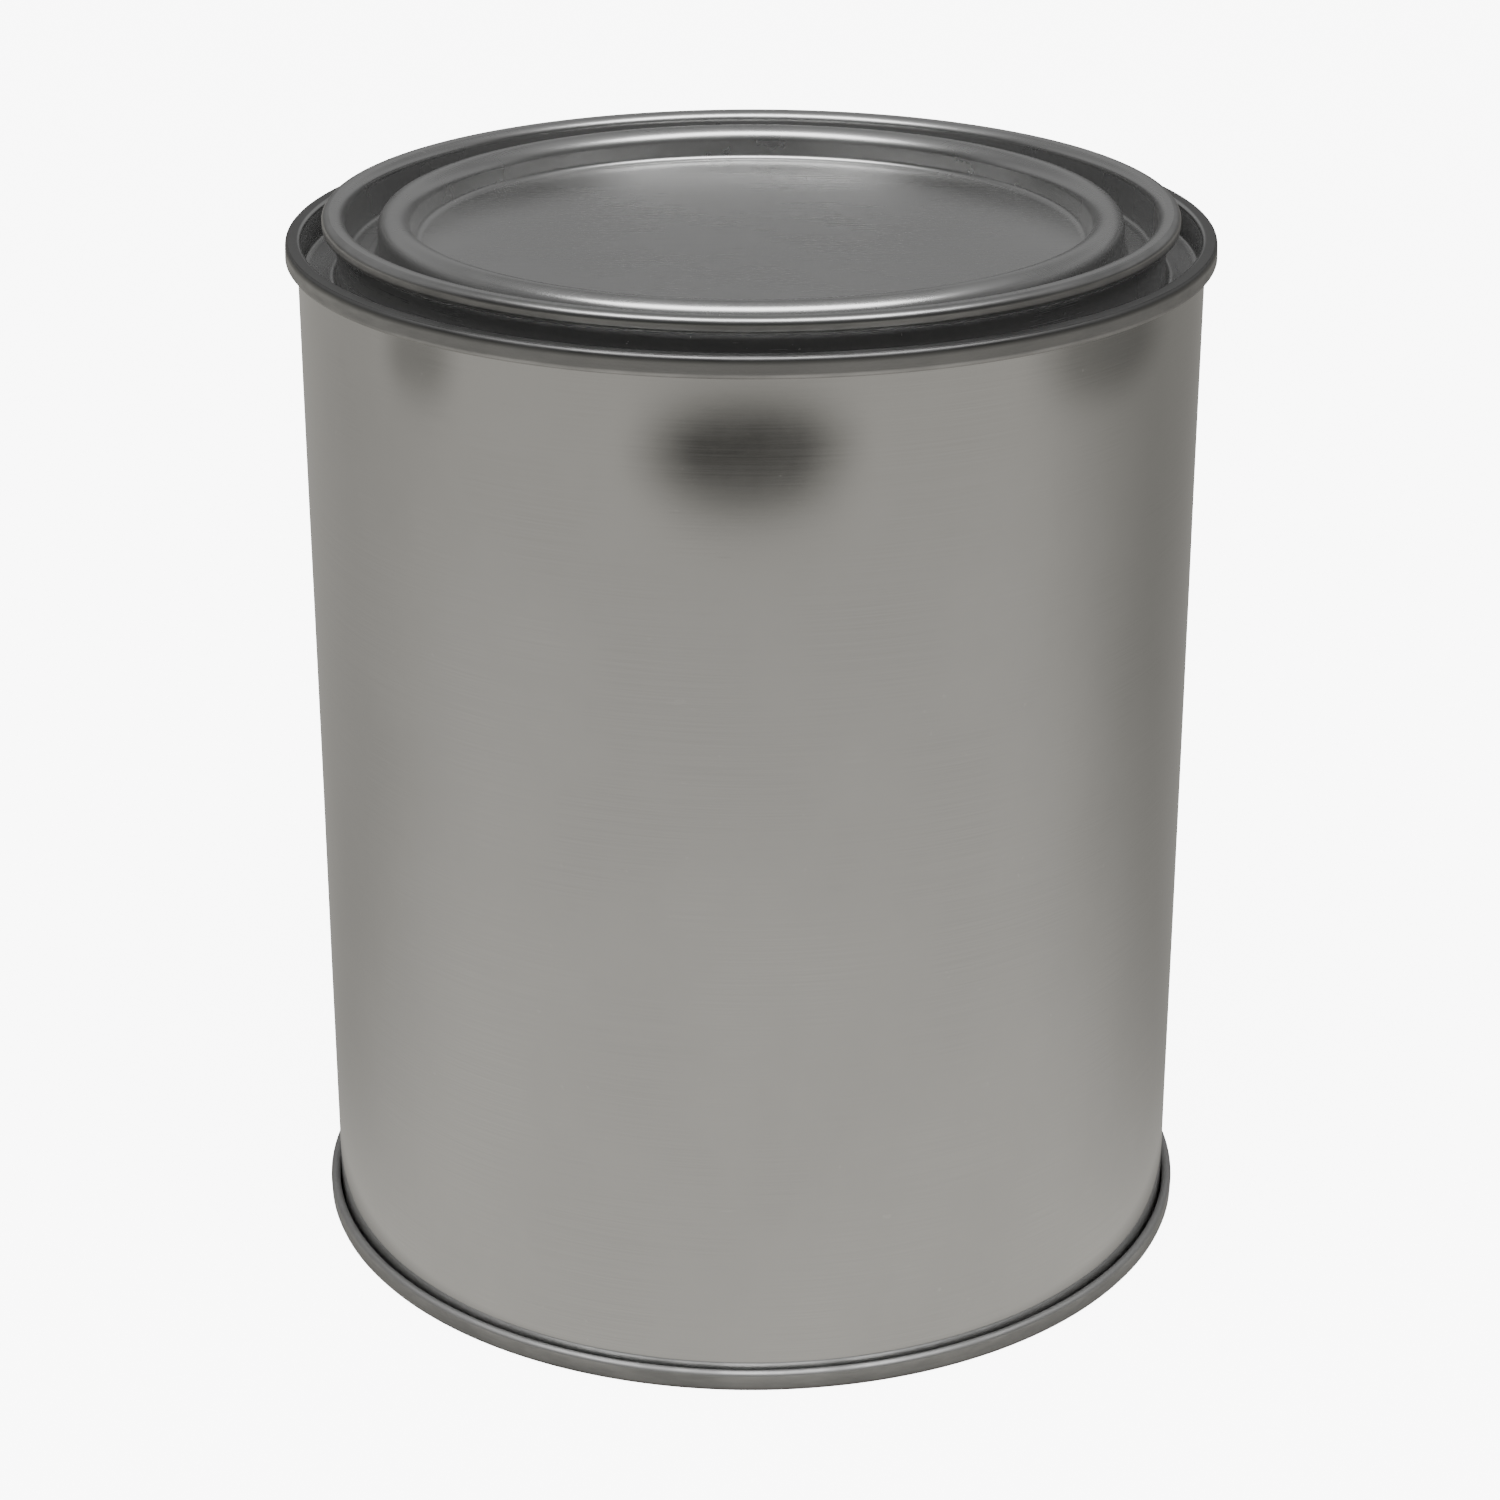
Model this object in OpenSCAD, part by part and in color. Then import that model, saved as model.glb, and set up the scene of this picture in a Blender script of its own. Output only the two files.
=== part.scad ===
// Round friction-lid paint can: a drawn and seamed tinplate can with a press-in plug lid.
// Every piece is one sheet of tinplate, drawn as the path of the middle of the sheet, given its
// thickness and spun about the can's axis. Lengths are in millimetres, +Z is up, and the origin
// is at the middle of the base, where the lower rim stands.

/* [Can] */
// Height from the base to the top of the upper rim
can_h = 124; // [60:1:200]
// Diameter over the two rims
rim_d = 108; // [100:0.5:130]
// How far each rim stands out from the body wall
rim_step = 1.4; // [1.3:0.05:1.6]
// Height of the double seam that makes each rim
seam_h = 2.5; // [2.4:0.1:3.2]

/* [Sheet] */
// Thickness of the lid, ring and bottom sheet
end_t = 0.28; // [0.26:0.01:0.3]
// Thickness of the body sheet
body_t = 0.24; // [0.2:0.01:0.26]
// Width of the welded overlap down the body
weld_w = 1; // [0.6:0.1:1.6]
// Height of the welded overlap above the body wall
weld_rise = 0.08; // [0.05:0.01:0.12]

/* [Top ring] */
// Width of the gutter inside the upper rim
gutter_w = 4; // [3.9:0.1:4.6]
// Depth of the gutter below the upper rim
gutter_depth = 4.8; // [4.6:0.1:6]
// Slope of the gutter floor towards the middle, in degrees
gutter_slope = 20; // [10:1:22]
// Height of the ring's outer bead above the upper rim
bead_rise = 2.15; // [1.9:0.05:2.2]
// Width of the ring's outer bead
bead_w = 0.72; // [0.7:0.01:0.76]
// Width of the rolled edge round the mouth
mouth_roll_w = 2.3; // [2.3:0.05:2.4]

/* [Lid] */
// Diameter over the lid's rolled edge
lid_d = 99.3; // [99:0.1:99.5]
// Height of the lid's rolled edge above the upper rim
lid_rise = 2.9; // [2.9:0.05:3.2]
// Height of the rolled edge itself
curl_h = 1.95; // [1.9:0.05:2.1]
// Depth of the lid's plug channel below the rolled edge
channel_depth = 5.5; // [5.1:0.1:5.7]
// Width of the plug channel
channel_w = 3.75; // [3.5:0.05:4]
// Width of the lid's inner bead
inner_bead_w = 3.6; // [3.6:0.05:3.8]
// How much lower the inner bead is than the rolled edge
inner_bead_drop = 0.35; // [0.2:0.05:0.4]
// Depth of the flat panel below the rolled edge
panel_drop = 4.2; // [3.9:0.1:4.5]
// How far the wall round the panel leans from upright, in degrees
panel_wall_lean = 10; // [8:1:20]
// Clearance between the lid's plug and the ring's groove
plug_gap = 0.05; // [0.03:0.01:0.06]

/* [Bottom end] */
// Height of the centre panel's underside above the base
base_recess = 4.4; // [4.2:0.1:6]
// Height of the outer step above the centre panel
base_step = 0.8; // [0.5:0.1:1.2]
// Diameter of the centre panel
base_panel_d = 88; // [60:1:90]

/* [Hidden] */
$fn = 180;

tinplate = [0.77, 0.76, 0.73];
tinplate_lid = [0.82, 0.81, 0.78];
compound_grey = [0.46, 0.45, 0.42];

// Largest turn between two points of a bend, in degrees
bend_step = 15;
// Clearance between sheets pressed face to face
sheet_gap = 0.02;
// Free space left past the end of each hook
hook_gap = 0.15;
// Points of a path closer than this are taken as one
same_point = 0.004;

rim_r = rim_d / 2;
body_r = rim_r - rim_step;
lid_r = lid_d / 2;

// The five layers of a double seam, from the inside out: chuck wall, body wall, end hook, body
// hook and seaming wall. The radii are those of the middle of each sheet.
seam_gap = (rim_step - 2 * end_t - body_t) / 3;
chuck_r = body_r - body_t - sheet_gap - end_t / 2;
body_mid_r = body_r - body_t / 2;
end_hook_r = body_r + seam_gap + end_t / 2;
body_hook_r = end_hook_r + end_t / 2 + seam_gap + body_t / 2;
seaming_r = rim_r - end_t / 2;
seam_top_bend = 0.38;
end_hook_bend = (seaming_r - end_hook_r) / 2;
body_hook_bend = (body_hook_r - body_mid_r) / 2;
body_hook_depth = end_t + seam_gap + body_t / 2;

// Top ring, from the gutter to the rolled edge of the mouth
gutter_low_z = can_h - gutter_depth - end_t / 2;
gutter_bend = 0.8;
gutter_corner_bend = 0.6;
bead_outer_r = chuck_r - gutter_w - end_t;
bead_inner_r = bead_outer_r - bead_w + end_t;
bead_bend = (bead_outer_r - bead_inner_r) / 2;
bead_top_z = can_h + bead_rise - end_t / 2;
gutter_arc_z = gutter_low_z + gutter_bend;
gutter_arc_r = bead_outer_r + gutter_bend;
gutter_in_z = gutter_floor_z(bead_outer_r);
gutter_out_z = gutter_floor_z(chuck_r);

// Lid, with the middle of its sheet on these radii and heights
lid_top_z = can_h + lid_rise - end_t / 2;
curl_r = lid_r - end_t / 2;
curl_low_z = lid_top_z - curl_h + end_t;
curl_bend = 0.5;
curl_flat_w = 0.05;
curl_tip_depth = 0.85;
curl_tip_r = curl_r - 2 * curl_bend - curl_flat_w;
curl_tip_z = lid_top_z - curl_tip_depth;
curl_top_bend = 0.66;
plug_r = bead_inner_r - end_t - plug_gap;
plug_top_bend = 1;
channel_z = lid_top_z - channel_depth;
channel_bend = 0.8;
channel_in_r = plug_r - channel_w - end_t;
inner_bead_z = lid_top_z - inner_bead_drop;
inner_bead_in_r = channel_in_r - inner_bead_w + end_t;
inner_bead_fullness = 0.97;
inner_bead_bend = inner_bead_fullness * (inner_bead_w - end_t) / (1 + tan(45 - panel_wall_lean / 2));
panel_z = lid_top_z - panel_drop;
panel_r = inner_bead_in_r - (inner_bead_z - panel_z) * tan(panel_wall_lean);
panel_bend = 1;

// The ring's groove, which the lid's plug fills
groove_clearance = 0.3;
groove_z = channel_z - end_t - groove_clearance;
groove_bend = 0.9;
mouth_wall_r = channel_in_r - end_t - plug_gap;
mouth_roll_drop = 0.9;
mouth_roll_z = inner_bead_z - mouth_roll_drop;
mouth_roll_r = mouth_wall_r - mouth_roll_w + end_t;
mouth_roll_bend = 1;
mouth_roll_h = 1.55;
mouth_tip_z = mouth_roll_z - mouth_roll_h;
mouth_tip_bend = 0.4;
mouth_tip_gap = 0.25;
mouth_tip_r = mouth_wall_r - end_t - mouth_tip_gap;

// Bottom end, with the middle of its sheet on these heights
base_panel_z = base_recess + end_t / 2;
base_ring_z = base_panel_z + base_step;
base_panel_r = base_panel_d / 2;
base_bend = 0.8;

// Lining compound in the seam's gap
compound_gap = 0.01;
compound_end_gap = 0.1;
compound_t = seam_gap - 2 * compound_gap;
compound_r = seaming_r - end_t / 2 - seam_gap / 2;
compound_depth = end_t + seam_gap / 2;
compound_bend = body_hook_bend + body_t / 2 + seam_gap / 2;
compound_in_r = body_r + compound_end_gap;
compound_low_depth = seam_h - end_t - 2 * hook_gap - compound_end_gap;

function unit(v) = v / norm(v);
function left_of(v) = [-v.y, v.x];
function turned(v, a) = [v.x * cos(a) - v.y * sin(a), v.x * sin(a) + v.y * cos(a)];
function reversed(list) = [for (i = [len(list) - 1 : -1 : 0]) list[i]];
function place(p) = [p[0], p[1]];

// Height of the gutter floor's straight slope, carried on to radius r
function gutter_floor_z(r) =
    gutter_arc_z - gutter_bend / cos(gutter_slope) + (r - gutter_arc_r) * tan(gutter_slope);

// Arc of radius r that rounds the corner b on the way from a to c
function corner_arc(a, b, c, r) =
    let (u = unit(b - a), v = unit(c - b))
    let (turn = atan2(cross(u, v), u * v), side = sign(turn))
    let (start = b - r * tan(abs(turn) / 2) * u)
    let (centre = start + side * r * left_of(u))
    let (steps = ceil(abs(turn) / bend_step))
    [for (i = [0 : steps]) centre + turned(start - centre, turn * i / steps)];

// A path is a list of [radius, height, bend]: its ends, and corners with the bend's radius
function bent(path) =
    let (last = len(path) - 1)
    [
        place(path[0]),
        for (i = [1 : last - 1])
            each corner_arc(place(path[i - 1]), place(path[i]), place(path[i + 1]), path[i][2]),
        place(path[last])
    ];

// The same points without any that lie on top of the one before
function distinct(points) =
    [for (i = [0 : len(points) - 1])
        if (i == 0 || norm(points[i] - points[i - 1]) > same_point) points[i]];

// The line beside a line of points, a distance away on its left
function beside(line, away) =
    let (last = len(line) - 1)
    [for (i = [0 : last])
        let (a = unit(line[max(i, 1)] - line[max(i, 1) - 1]))
        let (b = unit(line[min(i, last - 1) + 1] - line[min(i, last - 1)]))
        line[i] + away * (left_of(a) + left_of(b)) / (1 + a * b)];

// The cross-section of a sheet of thickness t that follows a path
function sheet_section(path, t) =
    let (line = distinct(bent(path)))
    concat(beside(line, t / 2), reversed(beside(line, -t / 2)));

// A path given by depth inside the lower rim, turned over to the upper rim
function at_top(path) = [for (p = path) [p[0], can_h - p[1], p[2]]];

// Hook of a lid ring or bottom end, by depth below the rim, from its tip to the chuck wall
function end_hook() = [
    [end_hook_r, body_hook_depth + body_t / 2 + hook_gap, 0],
    [end_hook_r, seam_h - end_t / 2, end_hook_bend],
    [seaming_r, seam_h - end_t / 2, end_hook_bend],
    [seaming_r, end_t / 2, seam_top_bend],
    [chuck_r, end_t / 2, seam_top_bend]
];

// Hook of the body, by depth below the rim, from its tip to the body wall
function body_hook() = [
    [body_hook_r, seam_h - end_t - hook_gap, 0],
    [body_hook_r, body_hook_depth, body_hook_bend],
    [body_mid_r, body_hook_depth, body_hook_bend]
];

// Compound between the seaming wall and the body hook, by depth below the rim
function compound_path() = [
    [compound_in_r, compound_depth, 0],
    [compound_r, compound_depth, compound_bend],
    [compound_r, compound_low_depth, 0]
];

function body_path() = concat(body_hook(), reversed(at_top(body_hook())));

function bottom_path() = concat(end_hook(), [
    [chuck_r, base_ring_z, base_bend],
    [base_panel_r + 2 * base_step, base_ring_z, base_bend],
    [base_panel_r, base_panel_z, base_bend],
    [0, base_panel_z, 0]
]);

function ring_path() = concat(at_top(end_hook()), [
    [chuck_r, gutter_out_z, gutter_corner_bend],
    [bead_outer_r, gutter_in_z, gutter_bend],
    [bead_outer_r, bead_top_z, bead_bend],
    [bead_inner_r, bead_top_z, bead_bend],
    [bead_inner_r, groove_z, groove_bend],
    [mouth_wall_r, groove_z, groove_bend],
    [mouth_wall_r, mouth_roll_z, mouth_roll_bend],
    [mouth_roll_r, mouth_roll_z, mouth_roll_bend],
    [mouth_roll_r, mouth_tip_z, mouth_tip_bend],
    [mouth_tip_r, mouth_tip_z, 0]
]);

function lid_path() = [
    [curl_tip_r, curl_tip_z, 0],
    [curl_tip_r, curl_low_z, curl_bend],
    [curl_r, curl_low_z, curl_bend],
    [curl_r, lid_top_z, curl_top_bend],
    [plug_r, lid_top_z, plug_top_bend],
    [plug_r, channel_z, channel_bend],
    [channel_in_r, channel_z, channel_bend],
    [channel_in_r, inner_bead_z, inner_bead_bend],
    [inner_bead_in_r, inner_bead_z, inner_bead_bend],
    [panel_r, panel_z, panel_bend],
    [0, panel_z, 0]
];

// A sheet spun about the can's axis
module spun_sheet(path, t) {
    rotate_extrude() polygon(sheet_section(path, t));
}

// The overlap of the body sheet's two edges, a low raised strip down the back between the seams
module weld_overlap() {
    translate([0, 0, seam_h + hook_gap])
        linear_extrude(can_h - 2 * (seam_h + hook_gap))
            intersection() {
                difference() {
                    circle(body_r + weld_rise);
                    circle(body_mid_r);
                }
                translate([-weld_w / 2, 0]) square([weld_w, 2 * body_r]);
            }
}

module can_body() {
    color(tinplate)
        union() {
            spun_sheet(body_path(), body_t);
            weld_overlap();
        }
}

module bottom_end() {
    color(tinplate) spun_sheet(bottom_path(), end_t);
}

module top_ring() {
    color(tinplate) spun_sheet(ring_path(), end_t);
}

module lid() {
    color(tinplate_lid) spun_sheet(lid_path(), end_t);
}

module top_seam_compound() {
    color(compound_grey) spun_sheet(at_top(compound_path()), compound_t);
}

module bottom_seam_compound() {
    color(compound_grey) spun_sheet(compound_path(), compound_t);
}

can_body();
bottom_end();
top_ring();
lid();
top_seam_compound();
bottom_seam_compound();
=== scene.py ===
"""A round friction-lid paint can in bright tinplate, built around its CAD frame.

Every sheet is one closed mesh: the path of the middle of the sheet, bent with true round bends,
given its thickness and spun about the can's axis. The sheets carry the small unevenness of stamped
and seamed tinplate. Sizes are in millimetres until a mesh is made, +Z is up, and the base stands
on z = 0. They repeat the sizes of the CAD model or come from its boxes.
"""

import math

import bmesh
import bpy
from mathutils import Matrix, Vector, noise


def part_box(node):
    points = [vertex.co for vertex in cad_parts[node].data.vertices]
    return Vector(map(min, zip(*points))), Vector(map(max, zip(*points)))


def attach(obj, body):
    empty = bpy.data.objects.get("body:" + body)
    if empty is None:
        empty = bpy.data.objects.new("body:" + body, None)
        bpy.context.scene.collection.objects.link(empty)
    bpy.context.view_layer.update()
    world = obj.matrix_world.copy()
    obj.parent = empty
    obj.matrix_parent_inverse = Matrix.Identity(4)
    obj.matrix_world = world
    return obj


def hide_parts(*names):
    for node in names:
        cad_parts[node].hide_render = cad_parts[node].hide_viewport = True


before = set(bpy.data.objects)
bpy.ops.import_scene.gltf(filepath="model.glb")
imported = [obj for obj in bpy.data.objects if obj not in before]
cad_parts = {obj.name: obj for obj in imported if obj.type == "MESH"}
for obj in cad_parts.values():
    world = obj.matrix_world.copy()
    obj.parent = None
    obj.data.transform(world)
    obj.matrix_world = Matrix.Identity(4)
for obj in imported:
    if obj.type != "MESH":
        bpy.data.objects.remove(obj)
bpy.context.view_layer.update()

MM = 0.001

# ---------------------------------------------------------------- sizes, in millimetres

LID_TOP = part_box("lid")[1].z / MM
LID_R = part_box("lid")[1].x / MM
LID_RISE = 2.9
RIM_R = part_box("top_ring")[1].x / MM
RIM_STEP = 1.4
CAN_H = LID_TOP - LID_RISE

END_T = 0.28
BODY_T = 0.24
BODY_R = RIM_R - RIM_STEP
SEAM_H = 2.5
SHEET_GAP = 0.02
HOOK_GAP = 0.15
WELD_W = 1.0
WELD_RISE = 0.08

# The double seam's layers, as radii of the middle of each sheet
SEAM_GAP = (RIM_STEP - 2 * END_T - BODY_T) / 3
CHUCK_R = BODY_R - BODY_T - SHEET_GAP - END_T / 2
BODY_MID_R = BODY_R - BODY_T / 2
END_HOOK_R = BODY_R + SEAM_GAP + END_T / 2
BODY_HOOK_R = END_HOOK_R + END_T / 2 + SEAM_GAP + BODY_T / 2
SEAMING_R = RIM_R - END_T / 2
SEAM_TOP_BEND = 0.38
BODY_HOOK_DEPTH = END_T + SEAM_GAP + BODY_T / 2
END_HOOK_BEND = (SEAMING_R - END_HOOK_R) / 2
BODY_HOOK_BEND = (BODY_HOOK_R - BODY_MID_R) / 2

# Top ring
GUTTER_W = 4.0
GUTTER_DEPTH = 4.8
GUTTER_SLOPE = math.radians(20)
GUTTER_BEND = 0.8
GUTTER_CORNER_BEND = 0.6
BEAD_W = 0.72
BEAD_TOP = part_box("top_ring")[1].z / MM - END_T / 2
BEAD_OUTER_R = CHUCK_R - GUTTER_W - END_T
BEAD_INNER_R = BEAD_OUTER_R - BEAD_W + END_T
BEAD_BEND = (BEAD_OUTER_R - BEAD_INNER_R) / 2

# Lid: rolled edge
LID_MID_TOP = LID_TOP - END_T / 2
CURL_H = 1.95
CURL_BEND = 0.5
CURL_FLAT_W = 0.05
CURL_TIP_DEPTH = 0.85
CURL_TOP_BEND = 0.66
CURL_R = LID_R - END_T / 2
CURL_LOW = LID_MID_TOP - CURL_H + END_T
CURL_TIP_R = CURL_R - 2 * CURL_BEND - CURL_FLAT_W
CURL_TIP_Z = LID_MID_TOP - CURL_TIP_DEPTH

# Lid: plug channel
PLUG_TOP_BEND = 1.0
PLUG_GAP = 0.05
PLUG_R = BEAD_INNER_R - END_T - PLUG_GAP
CHANNEL_DEPTH = 5.5
CHANNEL_W = 3.75
CHANNEL_BEND = 0.8
CHANNEL_Z = LID_MID_TOP - CHANNEL_DEPTH
CHANNEL_IN_R = PLUG_R - CHANNEL_W - END_T

# Lid: inner bead and sunk panel
INNER_BEAD_W = 3.6
INNER_BEAD_DROP = 0.35
INNER_BEAD_FULLNESS = 0.97
INNER_BEAD_Z = LID_MID_TOP - INNER_BEAD_DROP
INNER_BEAD_IN_R = CHANNEL_IN_R - INNER_BEAD_W + END_T
PANEL_DROP = 4.2
PANEL_WALL_LEAN = math.radians(10)
PANEL_BEND = 1.0
PANEL_Z = LID_MID_TOP - PANEL_DROP
PANEL_R = INNER_BEAD_IN_R - (INNER_BEAD_Z - PANEL_Z) * math.tan(PANEL_WALL_LEAN)
BENDS_SHARE = 1 + math.tan(math.pi / 4 - PANEL_WALL_LEAN / 2)
INNER_BEAD_BEND = INNER_BEAD_FULLNESS * (INNER_BEAD_W - END_T) / BENDS_SHARE

# The ring's groove and the rolled edge of the mouth
GROOVE_CLEARANCE = 0.3
GROOVE_BEND = 0.9
GROOVE_Z = CHANNEL_Z - END_T - GROOVE_CLEARANCE
MOUTH_WALL_R = CHANNEL_IN_R - END_T - PLUG_GAP
MOUTH_ROLL_DROP = 0.9
MOUTH_ROLL_W = 2.3
MOUTH_ROLL_H = 1.55
MOUTH_ROLL_BEND = 1.0
MOUTH_ROLL_Z = INNER_BEAD_Z - MOUTH_ROLL_DROP
MOUTH_ROLL_R = MOUTH_WALL_R - MOUTH_ROLL_W + END_T
MOUTH_TIP_GAP = 0.25
MOUTH_TIP_BEND = 0.4
MOUTH_TIP_Z = MOUTH_ROLL_Z - MOUTH_ROLL_H
MOUTH_TIP_R = MOUTH_WALL_R - END_T - MOUTH_TIP_GAP

# Bottom end
BASE_RECESS = 4.4
BASE_STEP = 0.8
BASE_PANEL_R = 44.0
BASE_BEND = 0.8
BASE_PANEL_Z = BASE_RECESS + END_T / 2
BASE_RING_Z = BASE_PANEL_Z + BASE_STEP

# Mesh fineness: points round the can, the widest step in a bend, the longest step on a straight
# run, and how close to a bend a run's first point lies
TURNS = 216
BEND_STEP = math.radians(10)
LONGEST_RUN = 3.0
SUPPORT = 0.06
SAME_POINT = 1e-4
SAME_DIRECTION = 0.9999

# The broken corners of a cut edge, as shares of the sheet's thickness
EDGE_INSET = 0.25
EDGE_BULGE = 0.15

# ---------------------------------------------------------------- sheet paths


def gutter_floor(radius):
    """Height of the gutter floor's straight slope, carried on to a radius."""
    arc_z = CAN_H - GUTTER_DEPTH - END_T / 2 + GUTTER_BEND
    arc_r = BEAD_OUTER_R + GUTTER_BEND
    return arc_z - GUTTER_BEND / math.cos(GUTTER_SLOPE) + (radius - arc_r) * math.tan(GUTTER_SLOPE)


def end_hook():
    """Hook of the ring or bottom end, by depth below its rim, from the tip to the chuck wall."""
    return [
        (END_HOOK_R, BODY_HOOK_DEPTH + BODY_T / 2 + HOOK_GAP, 0),
        (END_HOOK_R, SEAM_H - END_T / 2, END_HOOK_BEND),
        (SEAMING_R, SEAM_H - END_T / 2, END_HOOK_BEND),
        (SEAMING_R, END_T / 2, SEAM_TOP_BEND),
        (CHUCK_R, END_T / 2, SEAM_TOP_BEND),
    ]


def body_hook():
    """Hook of the body, by depth below its rim, from the tip to the body wall."""
    return [
        (BODY_HOOK_R, SEAM_H - END_T - HOOK_GAP, 0),
        (BODY_HOOK_R, BODY_HOOK_DEPTH, BODY_HOOK_BEND),
        (BODY_MID_R, BODY_HOOK_DEPTH, BODY_HOOK_BEND),
    ]


def at_top(path):
    """A path given by depth inside the lower rim, turned over to the upper rim."""
    return [(r, CAN_H - z, bend) for r, z, bend in path]


def body_path():
    return body_hook() + at_top(body_hook())[::-1]


def bottom_path():
    return end_hook() + [
        (CHUCK_R, BASE_RING_Z, BASE_BEND),
        (BASE_PANEL_R + 2 * BASE_STEP, BASE_RING_Z, BASE_BEND),
        (BASE_PANEL_R, BASE_PANEL_Z, BASE_BEND),
        (0, BASE_PANEL_Z, 0),
    ]


def ring_path():
    return at_top(end_hook()) + [
        (CHUCK_R, gutter_floor(CHUCK_R), GUTTER_CORNER_BEND),
        (BEAD_OUTER_R, gutter_floor(BEAD_OUTER_R), GUTTER_BEND),
        (BEAD_OUTER_R, BEAD_TOP, BEAD_BEND),
        (BEAD_INNER_R, BEAD_TOP, BEAD_BEND),
        (BEAD_INNER_R, GROOVE_Z, GROOVE_BEND),
        (MOUTH_WALL_R, GROOVE_Z, GROOVE_BEND),
        (MOUTH_WALL_R, MOUTH_ROLL_Z, MOUTH_ROLL_BEND),
        (MOUTH_ROLL_R, MOUTH_ROLL_Z, MOUTH_ROLL_BEND),
        (MOUTH_ROLL_R, MOUTH_TIP_Z, MOUTH_TIP_BEND),
        (MOUTH_TIP_R, MOUTH_TIP_Z, 0),
    ]


def lid_path():
    return [
        (CURL_TIP_R, CURL_TIP_Z, 0),
        (CURL_TIP_R, CURL_LOW, CURL_BEND),
        (CURL_R, CURL_LOW, CURL_BEND),
        (CURL_R, LID_MID_TOP, CURL_TOP_BEND),
        (PLUG_R, LID_MID_TOP, PLUG_TOP_BEND),
        (PLUG_R, CHANNEL_Z, CHANNEL_BEND),
        (CHANNEL_IN_R, CHANNEL_Z, CHANNEL_BEND),
        (CHANNEL_IN_R, INNER_BEAD_Z, INNER_BEAD_BEND),
        (INNER_BEAD_IN_R, INNER_BEAD_Z, INNER_BEAD_BEND),
        (PANEL_R, PANEL_Z, PANEL_BEND),
        (0, PANEL_Z, 0),
    ]


# ---------------------------------------------------------------- from path to mesh


def bent_line(path):
    """Points along a path with its corners bent round, each as (point, left normal)."""
    places = [Vector(corner[:2]) for corner in path]
    first = (places[1] - places[0]).normalized()
    line = [(places[0], Vector((-first.y, first.x)))]
    for i in range(1, len(path) - 1):
        before = (places[i] - places[i - 1]).normalized()
        after = (places[i + 1] - places[i]).normalized()
        turn = math.atan2(before.cross(after), before.dot(after))
        side = math.copysign(1, turn)
        bend = path[i][2]
        start = places[i] - bend * math.tan(abs(turn) / 2) * before
        start_normal = Vector((-before.y, before.x))
        centre = start + side * bend * start_normal
        steps = math.ceil(abs(turn) / BEND_STEP)
        for k in range(steps + 1):
            angle = turn * k / steps
            c = math.cos(angle)
            s = math.sin(angle)
            across = c * start_normal.x - s * start_normal.y
            along = s * start_normal.x + c * start_normal.y
            n = Vector((across, along))
            line.append((centre - side * bend * n, n))
    last = (places[-1] - places[-2]).normalized()
    line.append((places[-1], Vector((-last.y, last.x))))
    return line


def with_supports(line):
    """The line with points added on its straight runs, so that flat stays flat and can flex."""
    full = [line[0]]
    for (p, n), (q, m) in zip(line, line[1:]):
        run = (q - p).length
        if run < SAME_POINT:
            continue
        if n.dot(m) > SAME_DIRECTION and run > 3 * SUPPORT:
            pieces = math.ceil(run / LONGEST_RUN)
            shares = [SUPPORT / run] + [k / pieces for k in range(1, pieces)] + [1 - SUPPORT / run]
            full += [(p.lerp(q, share), n) for share in shares]
        full.append((q, m))
    return full


def cut_edge(face, other, thickness):
    """Two points that break the corners of a sheet's cut edge, between its two faces."""
    across = (other - face).normalized()
    outwards = Vector((across.y, -across.x))
    inset = EDGE_INSET * thickness * across
    bulge = EDGE_BULGE * thickness * outwards
    return [face + inset + bulge, other - inset + bulge]


def outline(path, thickness):
    """The sheet's cross-section as points from its start round its end and back."""
    line = with_supports(bent_line(path))
    left = [p + n * thickness / 2 for p, n in line]
    right = [p - n * thickness / 2 for p, n in line]
    points = list(left)
    if path[-1][0] > 0:
        points += cut_edge(left[-1], right[-1], thickness)
    points += right[::-1]
    points += cut_edge(right[0], left[0], thickness)
    return points


def linked(name, data):
    """A new object in the scene."""
    thing = bpy.data.objects.new(name, data)
    bpy.context.scene.collection.objects.link(thing)
    return thing


def spin(name, path, thickness, angles, shift):
    """A closed mesh object: the sheet's outline spun through the angles about Z.

    shift(radius, angle, z) gives how far a point moves out from the axis and up, in millimetres.
    """
    mesh = bmesh.new()
    rings = []
    for p in outline(path, thickness):
        if p.x < SAME_POINT:
            rings.append([mesh.verts.new((0, 0, p.y * MM))])
            continue
        ring = []
        for angle in angles:
            out, up = shift(p.x, angle, p.y)
            radius = (p.x + out) * MM
            height = (p.y + up) * MM
            corner = (radius * math.cos(angle), radius * math.sin(angle), height)
            ring.append(mesh.verts.new(corner))
        rings.append(ring)
    count = len(angles)
    for ring, next_ring in zip(rings, rings[1:] + rings[:1]):
        if len(ring) == 1 and len(next_ring) == 1:
            continue
        for k in range(count):
            k2 = (k + 1) % count
            if len(ring) == 1:
                corners = (ring[0], next_ring[k2], next_ring[k])
            elif len(next_ring) == 1:
                corners = (ring[k], ring[k2], next_ring[0])
            else:
                corners = (ring[k], ring[k2], next_ring[k2], next_ring[k])
            mesh.faces.new(corners)
    bmesh.ops.recalc_face_normals(mesh, faces=mesh.faces)
    data = bpy.data.meshes.new(name)
    mesh.to_mesh(data)
    mesh.free()
    data.shade_smooth()
    return linked(name, data)


# ---------------------------------------------------------------- the sheets' unevenness

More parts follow.
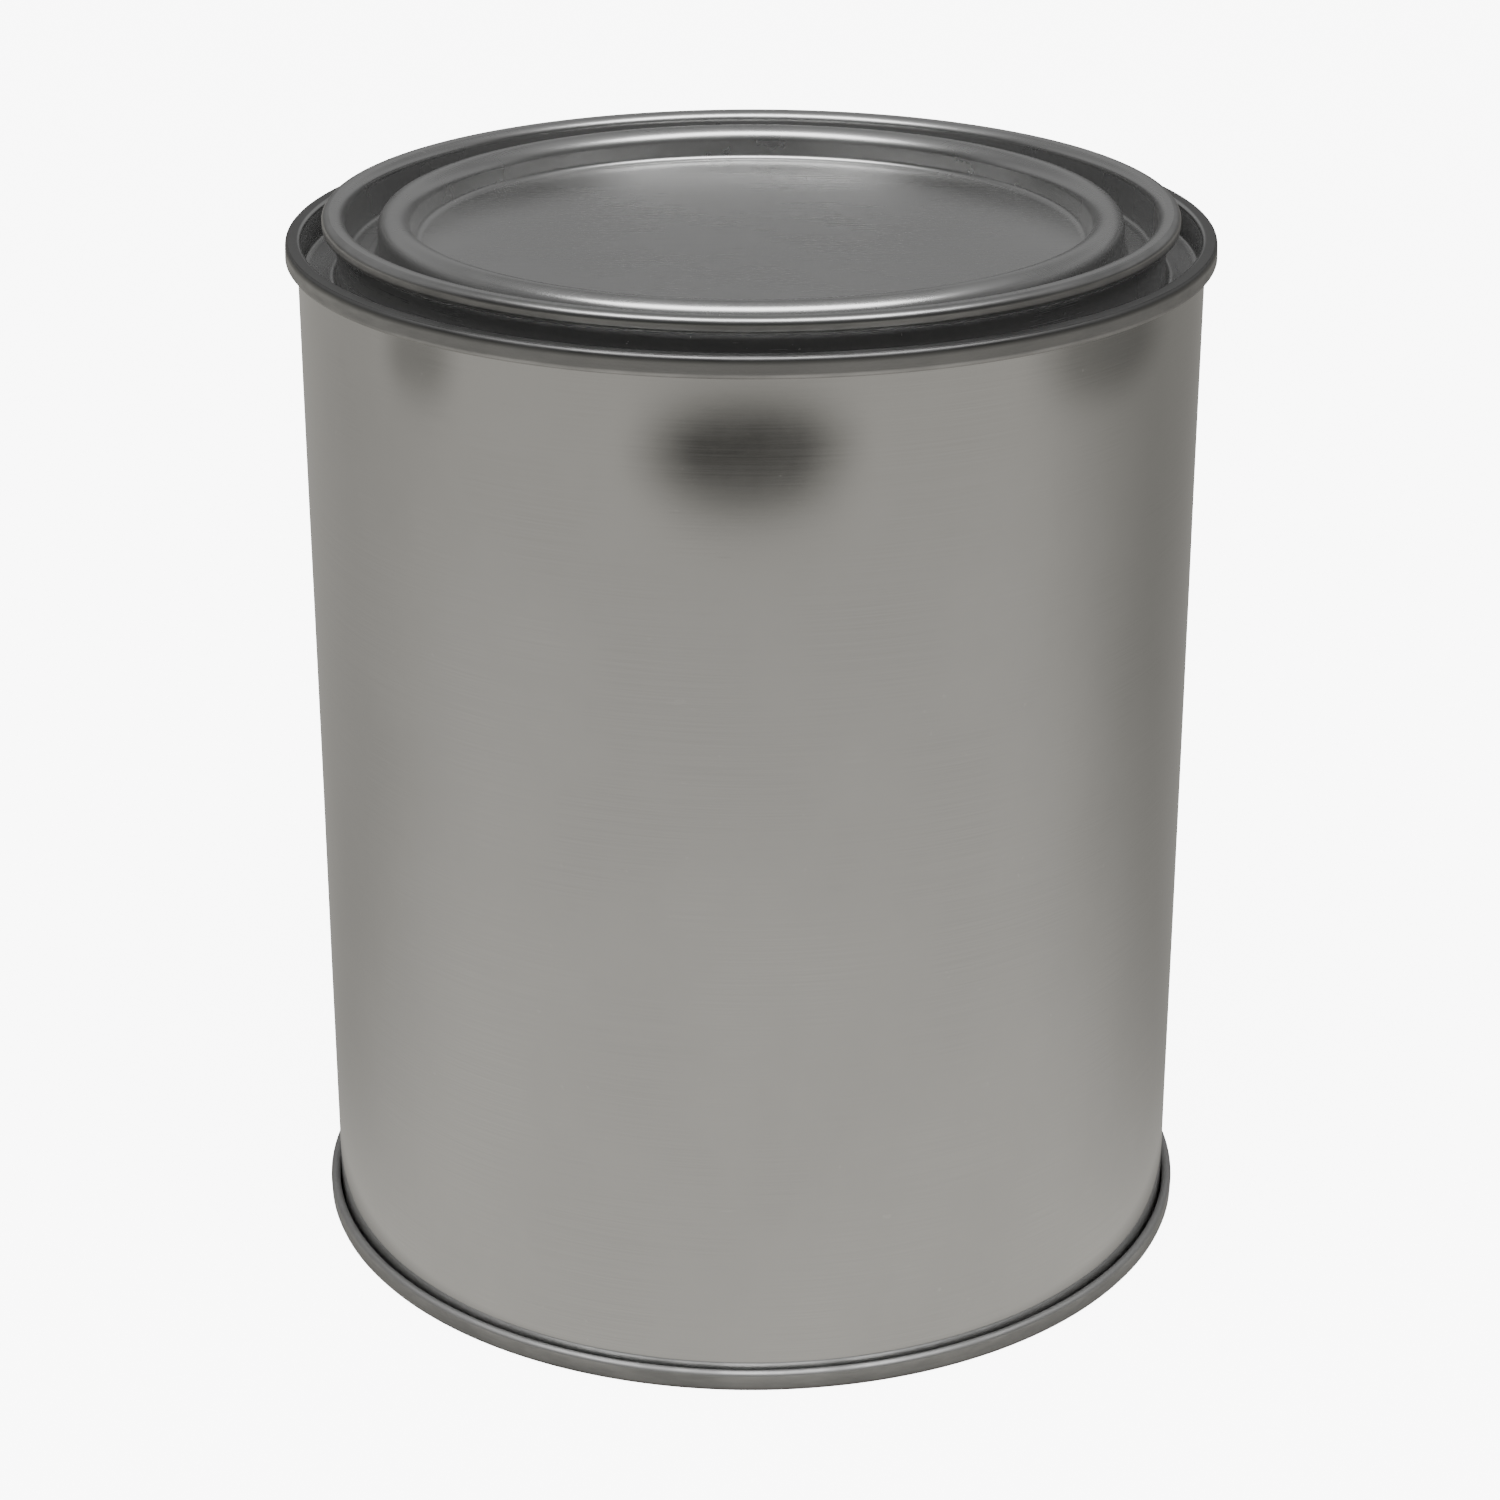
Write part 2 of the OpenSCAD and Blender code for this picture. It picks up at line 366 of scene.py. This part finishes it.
TURN_STEP = 2 * math.pi / TURNS
EVEN_ANGLES = [2 * math.pi * k / TURNS for k in range(TURNS)]
WELD_ANGLE = math.pi / 2
WELD_ACROSS = (-1.25, -1.0, -0.75, -0.3, 0.3, 0.75, 1.0, 1.25)
WELD_RIPPLE_LENGTH = 1.1
WELD_DROOP = 0.16
WELD_DROOP_W = 3.5

# How far the sheets are out of true
WALL_WAVE = 0.06
WALL_RIPPLE = 0.015
SEAM_INSET = 0.03
SEAM_LEAN = 0.07
SEAM_FLUTES = 23
FLUTE_DEPTH = 0.012
EDGE_WAVE = 0.02
LOW_EDGE_WAVE = 0.03
BASE_WAVE = 0.12
BASE_WAVE_LENGTH = 24
PANEL_WAVE = 0.07
PANEL_WAVE_LENGTH = 20

# Where the slack of a wall or panel starts, from the bend beside it, and how far it takes to be full
WALL_SLACK_START = 2
WALL_SLACK_RUN = 14
BASE_SLACK_START = 2
BASE_SLACK_RUN = 12
PANEL_SLACK_START = 1
PANEL_SLACK_RUN = 9


def smooth(x):
    """0 below 0, 1 above 1, and an even curve between."""
    x = min(max(x, 0.0), 1.0)
    return x * x * (3 - 2 * x)


def weld_angles():
    """Even turns, with close ones across the welded overlap."""
    half = WELD_W / 2 / BODY_R
    clear = 1.2 * half + 0.2 * TURN_STEP
    far = [a for a in EVEN_ANGLES if abs(a - WELD_ANGLE) > clear]
    return sorted(far + [WELD_ANGLE + half * k for k in WELD_ACROSS])


def swell(angle, z, size, seed):
    """Slow waviness round and up a wall, between about -0.5 and 0.5."""
    place = Vector((math.cos(angle) * size, math.sin(angle) * size, z * size / 45 + seed))
    return noise.noise(place)


def body_shift(radius, angle, z):
    """Slack in the body wall between its seams, and the weld's raised, rippled overlap."""
    above_base = smooth((z - SEAM_H - WALL_SLACK_START) / WALL_SLACK_RUN)
    below_rim = smooth((CAN_H - SEAM_H - WALL_SLACK_START - z) / WALL_SLACK_RUN)
    free = above_base * below_rim
    waves = WALL_WAVE * swell(angle, z, 1.1, 3.1) + WALL_RIPPLE * swell(angle, z, 3.4, 8.7)
    out = free * waves
    outside = radius > BODY_MID_R and SEAM_H < z < CAN_H - SEAM_H
    if outside and abs(angle - WELD_ANGLE) * BODY_R < 0.8 * WELD_W / 2:
        out += WELD_RISE * (0.85 + 0.15 * math.sin(2 * math.pi * z / WELD_RIPPLE_LENGTH))
    return out, 0


def near_weld(angle, width):
    """1 at the body's weld, falling to 0 at a distance of width millimetres round the rim."""
    gap = abs((angle - WELD_ANGLE + math.pi) % (2 * math.pi) - math.pi) * BODY_R
    return 1 - smooth(gap / width)


def seam_shift(radius, angle, depth, inwards):
    """The seaming wall leans in a little towards the rim, is rippled, and droops at the weld.

    depth is measured from the rim, and inwards is the way from the rim to the can's middle: 1 is up.
    """
    if radius < SEAMING_R - 0.7 * END_T:
        return 0, 0
    at_rim = smooth((SEAM_H - depth) / SEAM_H)
    ripple = FLUTE_DEPTH * math.sin(SEAM_FLUTES * angle) + EDGE_WAVE * swell(angle, 0, 2.6, 5.5)
    out = -SEAM_INSET - SEAM_LEAN * at_rim + ripple
    low = smooth((depth - SEAM_H + 0.9) / 0.8)
    at_weld = WELD_DROOP * near_weld(angle, WELD_DROOP_W)
    droop = at_weld + LOW_EDGE_WAVE * swell(angle, 0, 4.0, 1.3)
    return out, inwards * low * droop


def ring_shift(radius, angle, z):
    """The upper seam's outer wall, and slight waviness of the bead."""
    out, up = seam_shift(radius, angle, CAN_H - z, -1)
    if BEAD_INNER_R - 1 < radius < BEAD_OUTER_R + 1 and z > CAN_H:
        up = -EDGE_WAVE - EDGE_WAVE * swell(angle, 0, 3.0, 2.2)
    return out, up


def bottom_shift(radius, angle, z):
    """The lower seam's outer wall, and slack in the centre panel."""
    out, up = seam_shift(radius, angle, z, 1)
    inside = BASE_PANEL_R - BASE_SLACK_START - radius
    if inside > 0:
        place = Vector((radius * math.cos(angle), radius * math.sin(angle), 7)) / BASE_WAVE_LENGTH
        up = BASE_WAVE * smooth(inside / BASE_SLACK_RUN) * noise.noise(place)
    return out, up


def lid_shift(radius, angle, z):
    """Slack in the flat panel, and a slight unevenness of the rolled edge."""
    inside = PANEL_R - PANEL_SLACK_START - radius
    if inside > 0:
        place = Vector((radius * math.cos(angle), radius * math.sin(angle), 0)) / PANEL_WAVE_LENGTH
        return 0, PANEL_WAVE * smooth(inside / PANEL_SLACK_RUN) * noise.noise(place)
    if radius > PLUG_R + 0.5:
        out = -EDGE_WAVE + EDGE_WAVE * swell(angle, 0, 3.0, 6.1)
        up = -EDGE_WAVE + EDGE_WAVE * swell(angle, 0, 2.0, 9.4)
        return out, up
    return 0, 0


# ---------------------------------------------------------------- materials


def shade(tone, factor):
    """A tone made lighter or darker, as a colour with alpha."""
    return (*(channel * factor for channel in tone), 1)


class Nodes:
    """A node tree, built with short calls."""

    def __init__(self, tree):
        self.tree = tree

    def add(self, kind, **settings):
        """A new node with some of its settings."""
        node = self.tree.nodes.new(kind)
        for key, value in settings.items():
            setattr(node, key, value)
        return node

    def feed(self, socket, source):
        """Links an output to a socket, or sets the socket to a plain value."""
        if isinstance(source, bpy.types.NodeSocket):
            self.tree.links.new(source, socket)
        else:
            socket.default_value = source

    def calc(self, operation, *sources):
        """A sum on numbers."""
        node = self.add("ShaderNodeMath", operation=operation)
        for socket, source in zip(node.inputs, sources):
            self.feed(socket, source)
        return node.outputs[0]

    def vector(self, operation, *sources):
        """A sum on vectors. The length comes out as a number."""
        node = self.add("ShaderNodeVectorMath", operation=operation)
        for socket, source in zip(node.inputs, sources):
            self.feed(socket, source)
        return node.outputs["Value" if operation == "LENGTH" else "Vector"]

    def axes(self, vector):
        """A vector's X, Y and Z."""
        node = self.add("ShaderNodeSeparateXYZ")
        self.feed(node.inputs[0], vector)
        return node.outputs

    def spread(self, source, low, high, to_low=0.0, to_high=1.0):
        """A source's span from low to high, taken to another span and held at its ends."""
        node = self.add("ShaderNodeMapRange", interpolation_type="SMOOTHSTEP")
        values = (source, low, high, to_low, to_high)
        for socket, value in zip(("Value", "From Min", "From Max", "To Min", "To Max"), values):
            self.feed(node.inputs[socket], value)
        return node.outputs[0]

    def band(self, source, low, high, soft):
        """1 from low to high, and 0 from soft beyond either, all in millimetres."""
        above = self.spread(source, (low - soft) * MM, low * MM)
        below = self.spread(source, high * MM, (high + soft) * MM, 1.0, 0.0)
        return self.calc("MULTIPLY", above, below)

    def plus(self, value, mask, amount):
        """A value with an amount added where the mask is 1."""
        return self.calc("ADD", value, self.calc("MULTIPLY", mask, amount))

    def tint(self, factor, colour, other):
        """Goes from a colour to another as the factor goes from 0 to 1."""
        node = self.add("ShaderNodeMix", data_type="RGBA")
        self.feed(node.inputs["Factor"], factor)
        self.feed(node.inputs["A"], colour)
        self.feed(node.inputs["B"], other)
        return node.outputs["Result"]

    def over(self, colour, other, mask, share):
        """A colour with a share of another laid over it where the mask is 1."""
        return self.tint(self.calc("MULTIPLY", mask, share), colour, other)

    def ramp(self, source, tone, stops):
        """A tone's level along a source, from stops that are each a place and a level."""
        node = self.add("ShaderNodeValToRGB")
        self.feed(node.inputs[0], source)
        elements = node.color_ramp.elements
        while len(elements) < len(stops):
            elements.new(0.5)
        for element, (place, level) in zip(elements, stops):
            element.position = place
            element.color = shade(tone, level)
        return node.outputs["Color"]


class Shades(Nodes):
    """A material's node tree, with its main shader and where each point is on the piece."""

    def __init__(self, name):
        self.material = bpy.data.materials.new(name)
        self.material.use_nodes = True
        super().__init__(self.material.node_tree)
        self.shader = self.tree.nodes["Principled BSDF"]
        where = self.add("ShaderNodeTexCoord")
        self.place = where.outputs["Object"]
        self.normal = where.outputs["Normal"]

    def grain(self, scale, detail, rough, turn=(0, 0, 0)):
        """Noise stretched by a different scale on each axis."""
        mapping = self.add("ShaderNodeMapping")
        self.feed(mapping.inputs["Vector"], self.place)
        mapping.inputs["Scale"].default_value = scale
        mapping.inputs["Rotation"].default_value = turn
        texture = self.add("ShaderNodeTexNoise")
        self.feed(texture.inputs["Vector"], mapping.outputs[0])
        texture.inputs["Scale"].default_value = 1
        texture.inputs["Detail"].default_value = detail
        texture.inputs["Roughness"].default_value = rough
        return texture.outputs["Fac"]

    def give(self, socket, source):
        """Feeds or sets one of the main shader's own sockets."""
        self.feed(self.shader.inputs[socket], source)

    def give_relief(self, height, strength, distance):
        """Bumps from a height, with the bump's distance in millimetres."""
        node = self.add("ShaderNodeBump")
        node.inputs["Strength"].default_value = strength
        node.inputs["Distance"].default_value = distance * MM
        self.feed(node.inputs["Height"], height)
        self.give("Normal", node.outputs[0])


# Grains, as how often they repeat in a metre along each axis, and the turns of the hair scratches
ROUND_GRAIN = (55, 55, 5200)
SHEET_GRAIN = (60, 5200, 300)
CLOUD_GRAIN = (38, 38, 30)
PATCH_GRAIN = (160, 160, 700)
SPECK_GRAIN = (900, 900, 900)
HAIR_GRAIN = (70, 2600, 900)
HAIR_TURN = (0.3, 0.5, 0.35)
CROSS_HAIR_GRAIN = (2400, 55, 1200)
CROSS_HAIR_TURN = (0.8, 0.2, -0.4)

TIN = (0.60, 0.60, 0.595)
LINING = (0.46, 0.46, 0.45, 1)
HEAT_TINT = (0.27, 0.25, 0.26, 1)
COMPOUND_DARK = (0.30, 0.29, 0.27, 1)
COMPOUND_LIGHT = (0.46, 0.44, 0.40, 1)

# How matt the tinplate is made where shade is painted into its recesses
MATT_IN_PAINTED_SHADE = 0.45

# Where shade is painted: inner radius, outer radius, low height, high height, and how matt it is
# there.
# The first band darkens the rim's top to dim the lamp's reflection; the others are painted shade in
# the gutter and in the lid's channel.
RING_PAINTED_SHADE = (
    (CHUCK_R + 0.4, RIM_R + 0.1, CAN_H - 0.5, CAN_H + 0.1, 0.0),
    (BEAD_OUTER_R - 0.3, BEAD_OUTER_R + 0.6, CAN_H - 4.2, CAN_H + 1.8, MATT_IN_PAINTED_SHADE),
    (CHUCK_R - 0.6, CHUCK_R + 0.1, CAN_H - 3.1, CAN_H - 1.0, MATT_IN_PAINTED_SHADE),
    (BEAD_OUTER_R + 1.2, CHUCK_R - 0.9, CAN_H - 5.2, CAN_H - 3.6, MATT_IN_PAINTED_SHADE),
)
LID_PAINTED_SHADE = (
    (CHANNEL_IN_R - 0.3, PLUG_R + 0.4, LID_TOP - 5.0, LID_TOP - 1.4, MATT_IN_PAINTED_SHADE),
    (CHANNEL_IN_R + 1.4, PLUG_R - 1.4, LID_TOP - 5.9, LID_TOP - 5.0, MATT_IN_PAINTED_SHADE),
)


def hair_scratches(look):
    """Long fine scratches that run two ways, as a mask."""
    hairs = look.grain(HAIR_GRAIN, 1, 0.4, HAIR_TURN)
    crossing = look.grain(CROSS_HAIR_GRAIN, 1, 0.4, CROSS_HAIR_TURN)
    return look.calc("MAXIMUM", look.spread(hairs, 0.76, 0.84), look.spread(crossing, 0.77, 0.85))


def painted_shade_masks(look, radius, walls):
    """Where painted shade darkens the walls, and where it makes them matt."""
    height = look.axes(look.place)["Z"]
    dark = 0.0
    matt = 0.0
    for inner_r, outer_r, low, high, matt_share in walls:
        across = look.band(radius, inner_r, outer_r, 0.3)
        shaded_here = look.calc("MULTIPLY", across, look.band(height, low, high, 0.5))
        dark = look.calc("MAXIMUM", dark, shaded_here)
        matt = look.calc("MAXIMUM", matt, look.calc("MULTIPLY", shaded_here, matt_share))
    return dark, matt


def body_marks(look, radius, colour, roughness):
    """The body's colour and roughness with its grey lining and the heated strip at its weld."""
    lined = look.spread(radius, (BODY_MID_R - 0.05) * MM, (BODY_MID_R + 0.05) * MM, 1.0, 0.0)
    colour = look.tint(lined, colour, LINING)
    roughness = look.plus(roughness, lined, 0.35)
    look.give("Metallic", look.spread(lined, 0.0, 1.0, 1.0, 0.1))
    axes = look.axes(look.place)
    beside = look.spread(look.calc("ABSOLUTE", axes["X"]), 0.7 * MM, 3.2 * MM, 1.0, 0.0)
    behind = look.spread(axes["Y"], 40 * MM, 50 * MM)
    heated = look.calc("MULTIPLY", beside, behind)
    colour = look.over(colour, HEAT_TINT, heated, 0.75)
    roughness = look.plus(roughness, heated, 0.1)
    return colour, roughness


def tinplate(name, rough, grain_scale, grain_lift, edge_r, edge_rough, walls=(), is_body=False):
    """Rolled tinplate: a fine grain, cloudy mottling, hair scratches and a worn, duller edge,
    darkened partly as painted shade that dims the lamp's reflection on the rim and seams. The bands
    given as walls get painted shade.

    The edge is everything more than edge_r millimetres out from the axis. A flat-rolled sheet
    shows its grain and hairs only where it lies level, and not on its drawn walls.
    """
    look = Shades(name)
    look.give("Metallic", 1)
    rolled = look.grain(grain_scale, 4, 0.65)
    clouds = look.grain(CLOUD_GRAIN, 5, 0.6)
    specks = look.grain(SPECK_GRAIN, 2, 0.5)
    hairs = hair_scratches(look)
    if grain_scale == SHEET_GRAIN:
        upright = look.calc("ABSOLUTE", look.axes(look.normal)["Z"])
        level = look.spread(upright, 0.6, 0.95)
        hairs = look.calc("MULTIPLY", hairs, level)
        rolled = look.calc("MULTIPLY", look.calc("SUBTRACT", rolled, 0.5), level)
        rolled = look.calc("ADD", rolled, 0.5)
    radius = look.vector("LENGTH", look.vector("MULTIPLY", look.place, (1, 1, 0)))
    edge_zone = look.spread(radius, (edge_r - 0.1) * MM, (edge_r + 0.1) * MM)
    patchy = look.spread(look.grain(PATCH_GRAIN, 4, 0.6), 0.25, 0.75, 0.5, 1.0)
    rubbed_and_shaded = look.calc("MULTIPLY", edge_zone, patchy)

    colour = look.tint(look.spread(clouds, 0.32, 0.68), shade(TIN, 0.94), shade(TIN, 1.05))
    colour = look.tint(look.spread(rolled, 0.3, 0.7), colour, shade(TIN, 1.0))
    colour = look.over(colour, shade(TIN, 1.22), hairs, 0.35)
    # The edge is darker partly from wear and partly as painted shade that dims the lamp's reflection
    # on the rim and seams
    colour = look.over(colour, shade(TIN, 0.55), rubbed_and_shaded, 0.75)

    roughness = look.spread(clouds, 0.3, 0.7, 0.88 * rough, 1.12 * rough)
    grain_rough = look.spread(rolled, 0.25, 0.75, -0.08 * rough, 0.1 * rough)
    roughness = look.calc("ADD", roughness, grain_rough)
    roughness = look.plus(roughness, hairs, 0.12)
    roughness = look.plus(roughness, rubbed_and_shaded, edge_rough)

    # Painted shade: the given bands are darkened, and made matt where listed
    if walls:
        dark, matt = painted_shade_masks(look, radius, walls)
        colour = look.over(colour, shade(TIN, 0.25), dark, 0.8)
        look.give("Metallic", look.spread(matt, 0.0, 1.0, 1.0, 0.0))
    if is_body:
        colour, roughness = body_marks(look, radius, colour, roughness)
    look.give("Base Color", colour)
    look.give("Roughness", roughness)

    relief = look.calc("MULTIPLY", rolled, grain_lift)
    relief = look.plus(relief, specks, 0.25)
    relief = look.plus(relief, hairs, -0.5)
    look.give_relief(relief, 0.12, 0.01)
    return look.material


def dried_compound(name):
    """Matt rubbery sealing compound, with lumps and dust."""
    look = Shades(name)
    lumps = look.grain(SPECK_GRAIN, 4, 0.6)
    look.give("Base Color", look.tint(look.spread(lumps, 0.3, 0.7), COMPOUND_DARK, COMPOUND_LIGHT))
    look.give("Roughness", look.spread(lumps, 0.2, 0.8, 0.7, 0.9))
    look.give_relief(lumps, 0.4, 0.05)
    return look.material


body_tin = tinplate("body_tinplate", rough=0.095, grain_scale=ROUND_GRAIN, grain_lift=0.15,
                    edge_r=BODY_R + 0.5, edge_rough=0.1, is_body=True)
base_tin = tinplate("base_tinplate", rough=0.30, grain_scale=SHEET_GRAIN, grain_lift=0.7,
                    edge_r=CHUCK_R + 0.3, edge_rough=0.35)
ring_tin = tinplate("ring_tinplate", rough=0.26, grain_scale=ROUND_GRAIN, grain_lift=0.4,
                    edge_r=CHUCK_R + 0.3, edge_rough=0.25, walls=RING_PAINTED_SHADE)
lid_tin = tinplate("lid_tinplate", rough=0.28, grain_scale=SHEET_GRAIN, grain_lift=0.15,
                   edge_r=LID_R - 0.9, edge_rough=0.06, walls=LID_PAINTED_SHADE)

# ---------------------------------------------------------------- pieces

# CAD node, path of its sheet, thickness, angles, shift, body, material slot and material
sheets = (
    ("can_body", body_path(), BODY_T, weld_angles(), body_shift, "can", "body_tinplate", body_tin),
    ("bottom_end", bottom_path(), END_T, EVEN_ANGLES, bottom_shift, "can", "end_tinplate", base_tin),
    ("top_ring", ring_path(), END_T, EVEN_ANGLES, ring_shift, "can", "end_tinplate", ring_tin),
    ("lid", lid_path(), END_T, EVEN_ANGLES, lid_shift, "lid_plug", "lid_tinplate", lid_tin),
)
for node, path, thickness, angles, shift, body, slot, tin in sheets:
    piece = spin(node + "_sheet", path, thickness, angles, shift)
    piece.data.materials.append(tin)
    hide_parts(node)
    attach(piece, body)

for node in ("top_seam_compound", "bottom_seam_compound"):
    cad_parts[node].data.materials.clear()
    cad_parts[node].data.materials.append(dried_compound(node + "_rubber"))

# ---------------------------------------------------------------- stage, in metres

STAGE_R = 8.0
FLOOR_GREY = (0.92, 0.92, 0.92, 1)
WHITE = (1, 1, 1)
BLACK = (0, 0, 0, 1)


def stage_square(name, z):
    """A large level square for the stage."""
    data = bpy.data.meshes.new(name)
    around = ((-1, -1), (1, -1), (1, 1), (-1, 1))
    corners = [(x * STAGE_R, y * STAGE_R, z) for x, y in around]
    data.from_pydata(corners, [], [(0, 1, 2, 3)])
    square = linked(name, data)
    return square


# The floor shines by itself, so that it is pale however little light falls on it
floor = stage_square("floor", 0)
floor.visible_glossy = False
floor_paint = Shades("floor_paint")
floor_paint.give("Base Color", FLOOR_GREY)
floor_paint.give("Roughness", 1)
floor_paint.give("Specular IOR Level", 0)
floor_paint.give("Emission Color", shade(WHITE, 1))
floor_paint.give("Emission Strength", 8)
floor.data.materials.append(floor_paint.material)

# What the tinplate mirrors of the floor is a glowing card that only its reflections see, a painted
# reflection.
# It is light near the can, and dark further out, with dark spots in front and at the sides. A thin
# dark ring right at the can's foot is a painted contact shadow.
CARD_Z = -0.5 * MM
CARD_TONE = (1.0, 0.97, 0.90)

# The card's level at a distance from the can's axis, in metres, and behind the can at its two sides.
# The two nearest stops darken the card at the can's foot as a painted contact shadow.
CARD_STOPS = (
    (0.053, 0.15),
    (0.0565, 0.30),
    (0.058, 0.66),
    (0.12, 0.63),
    (0.22, 0.58),
    (0.34, 0.54),
    (0.52, 0.52),
    (0.56, 0.16),
    (0.75, 0.06),
)
CARD_BEHIND_LEFT = 0.42
CARD_BEHIND_RIGHT = 0.28

# Dark spots on the card, painted dark reflections: centre, half its size, and depth. The first two
# are each a bearing from straight ahead, in radians, and a distance from the can's axis.
CARD_SPOTS = (
    ((-0.02, 0.406), (0.44, 0.037), 1.0),
    ((-1.5, 0.452), (0.22, 0.032), 0.5),
    ((1.65, 0.452), (0.42, 0.042), 0.5),
)

card = stage_square("mirrored_floor", CARD_Z)
card.visible_camera = False
card.visible_diffuse = False
card.visible_transmission = False
card.visible_shadow = False
card_paint = Shades("mirrored_floor_paint")
card_axes = card_paint.axes(card_paint.place)
forward = card_paint.calc("MULTIPLY", card_axes["Y"], -1)
bearing = card_paint.calc("ARCTAN2", card_axes["X"], forward)
distance = card_paint.vector("LENGTH", card_paint.place)
round_can = card_paint.add("ShaderNodeCombineXYZ")
card_paint.feed(round_can.inputs["X"], bearing)
card_paint.feed(round_can.inputs["Y"], distance)

in_front = card_paint.ramp(distance, CARD_TONE, CARD_STOPS)
rightwards = card_paint.spread(card_axes["X"], -0.3, 0.3)
behind = card_paint.tint(rightwards, shade(CARD_TONE, CARD_BEHIND_LEFT),
                         shade(CARD_TONE, CARD_BEHIND_RIGHT))
backwards = card_paint.spread(card_paint.calc("ABSOLUTE", bearing), 1.0, 2.1)
level = card_paint.tint(backwards, in_front, behind)
for centre, half_size, depth in CARD_SPOTS:
    moved = card_paint.vector("SUBTRACT", round_can.outputs[0], (*centre, 0))
    scaled = card_paint.vector("MULTIPLY", moved, (1 / half_size[0], 1 / half_size[1], 0))
    spot = card_paint.spread(card_paint.vector("LENGTH", scaled), 0.45, 1.3, depth, 0.0)
    level = card_paint.tint(spot, level, BLACK)
glow = card_paint.add("ShaderNodeEmission")
card_paint.feed(glow.inputs["Color"], level)
card_out = card_paint.tree.nodes["Material Output"]
card_paint.feed(card_out.inputs["Surface"], glow.outputs[0])
card.data.materials.append(card_paint.material)

# ---------------------------------------------------------------- light and camera, in metres

# The level of the studio's walls and ceiling, by how far up the direction points, from 0 to 1
FRONT_STOPS = ((0.0, 0.03), (0.35, 0.05), (0.7, 0.2), (1.0, 0.35))
BACK_STOPS = ((0.0, 0.06), (0.13, 0.07), (0.20, 0.32), (0.40, 0.31), (0.6, 0.2), (1.0, 0.35))
AIR_LEVEL = 0.5

LAMP_SIZE = (1.5, 0.5)
LAMP_POWER = 15
LAMP_PLACE = (0, -0.45, 1.13)

CAMERA_PLACE = (-0.00015, -0.41050, 0.22854)
CAMERA_DIP = math.radians(22.56)
CAMERA_LENS = 86.50
CAMERA_SENSOR = 36

# Only reflections see the walls. Everything else gets the same low light from all around.
world = bpy.data.worlds.new("studio")
world.use_nodes = True
bpy.context.scene.world = world
sky = Nodes(world.node_tree)
way = sky.axes(sky.add("ShaderNodeTexCoord").outputs["Generated"])
front_wall = sky.ramp(way["Z"], WHITE, FRONT_STOPS)
back_wall = sky.ramp(way["Z"], WHITE, BACK_STOPS)
walls = sky.tint(sky.spread(way["Y"], -0.3, 0.3), front_wall, back_wall)
mirrored = sky.add("ShaderNodeLightPath").outputs["Is Glossy Ray"]
background = world.node_tree.nodes["Background"]
sky.feed(background.inputs["Color"], sky.tint(mirrored, shade(WHITE, AIR_LEVEL), walls))
sky.feed(background.inputs["Strength"], 1)

lamp_data = bpy.data.lights.new("overhead_softbox", "AREA")
lamp_data.shape = "RECTANGLE"
lamp_data.size = LAMP_SIZE[0]
lamp_data.size_y = LAMP_SIZE[1]
lamp_data.energy = LAMP_POWER
lamp = linked("overhead_softbox", lamp_data)
lamp.location = LAMP_PLACE

camera_data = bpy.data.cameras.new("camera")
camera_data.sensor_width = CAMERA_SENSOR
camera_data.lens = CAMERA_LENS
camera = linked("camera", camera_data)
camera.location = CAMERA_PLACE
camera.rotation_euler = (math.pi / 2 - CAMERA_DIP, 0, 0)
bpy.context.scene.camera = camera
